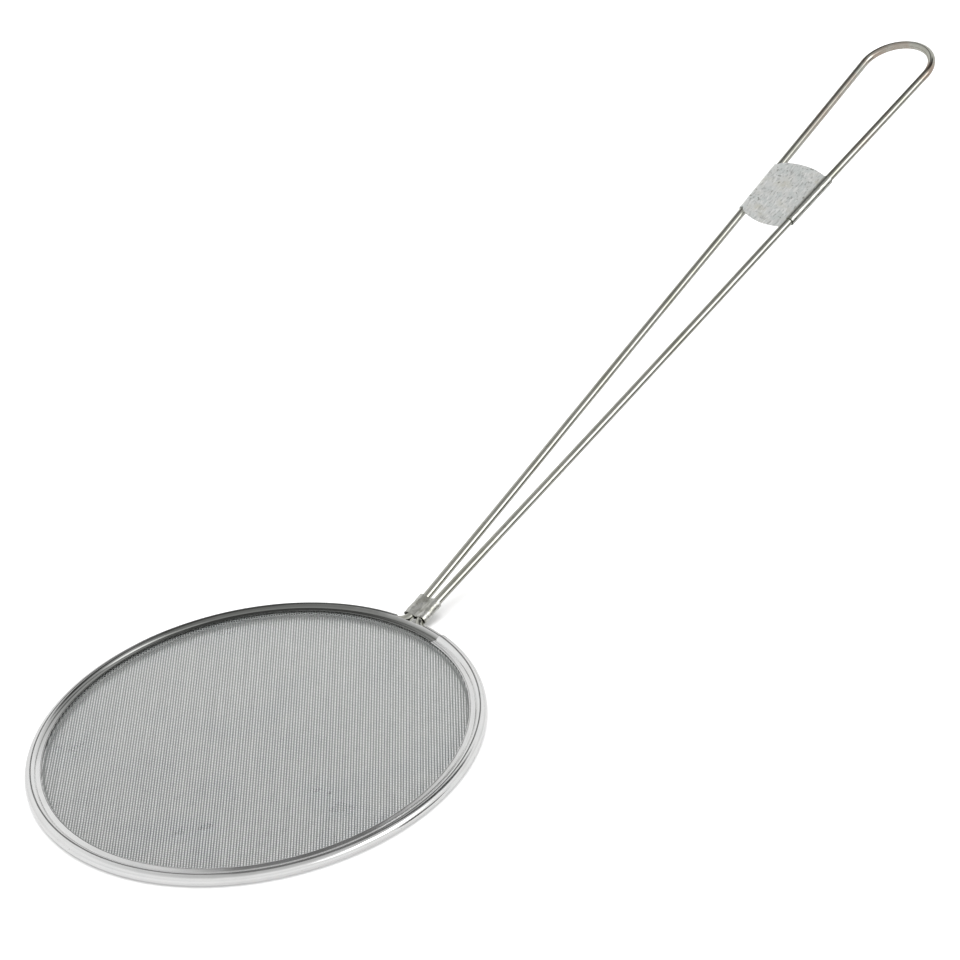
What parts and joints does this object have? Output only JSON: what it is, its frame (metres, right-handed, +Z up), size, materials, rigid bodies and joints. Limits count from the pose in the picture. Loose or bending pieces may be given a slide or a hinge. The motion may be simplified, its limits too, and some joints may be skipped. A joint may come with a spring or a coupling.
{
  "type": "wire cloth skimmer strainer",
  "caption": "Round skimmer strainer: shallow pan of fine woven wire in a rolled sheet rim, on a long rising two-leg wire handle with a hanging loop.",
  "frame": {"origin": "centre of the cloth disc, on the flat underside of the pan", "axes": "+Z up out of the pan, +X from the pan's centre along the handle, +Y to the left of the handle seen from the pan"},
  "size_m": [0.6076, 0.2, 0.1278],
  "materials": {
    "tinned_sheet": "bright hot-dip tin",
    "woven_wire": "fine woven wire, satin",
    "steel_wire": "tinned round wire, a little tarnished",
    "dull_sheet": "dull tinned sheet, dented",
    "matte_tin": "matte tinned sheet, scratched"
  },
  "bodies": {
    "root": {"rim_hoop": "tinned_sheet", "wire_cloth": "woven_wire", "frame_wire": "steel_wire", "neck_ferrule": "dull_sheet", "grip_plate": "matte_tin"}
  },
  "joints": []
}
